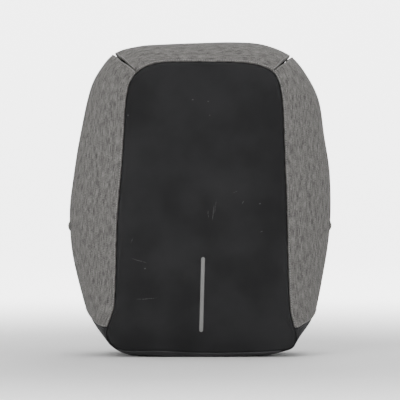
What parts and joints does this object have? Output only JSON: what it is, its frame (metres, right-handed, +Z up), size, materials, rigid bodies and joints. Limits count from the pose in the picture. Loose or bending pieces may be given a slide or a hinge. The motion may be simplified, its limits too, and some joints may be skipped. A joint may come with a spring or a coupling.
{
  "type": "anti theft backpack",
  "caption": "Upright backpack with a smooth dark front panel, padded grey sides and top, a zip hidden at the wearer's back, and padded shoulder straps.",
  "frame": {"origin": "middle of the flat underside of the base, on the surface that the bag stands on", "axes": "+Z up, +X to the right as seen from the front, +Y from the front panel towards the wearer's back"},
  "size_m": [0.3732, 0.1772, 0.4397],
  "materials": {
    "shell_cloth": "matte melange weave, foam backed",
    "front_cloth": "smooth coated cloth, lightly scuffed",
    "base_cloth": "matte coated cloth",
    "air_mesh": "padded spacer mesh",
    "webbing": "ribbed webbing",
    "zip": "coil zip on woven tape",
    "buckle": "fine moulded grain",
    "slider": "dark, slightly worn",
    "reflective": "fine beaded reflective tape"
  },
  "bodies": {
    "root": {"front_panel": "front_cloth", "side_panel_right": "shell_cloth", "top_panel": "shell_cloth", "side_panel_left": "shell_cloth", "base_panel": "base_cloth", "corner_gusset_right": "base_cloth", "corner_gusset_left": "base_cloth", "zip_chain": "zip", "zip_slider_right": "slider", "zip_slider_left": "slider", "back_board": "air_mesh", "back_pad_right": "air_mesh", "back_pad_left": "air_mesh", "lumbar_pad": "air_mesh", "reflective_strip": "reflective", "side_tab_right": "shell_cloth", "side_tab_left": "shell_cloth", "strap_yoke": "webbing", "shoulder_strap_right": "air_mesh", "strap_buckle_right": "buckle", "strap_webbing_right": "webbing", "strap_anchor_right": "webbing", "shoulder_strap_left": "air_mesh", "strap_buckle_left": "buckle", "strap_webbing_left": "webbing", "strap_anchor_left": "webbing", "grab_handle": "webbing"}
  },
  "joints": []
}
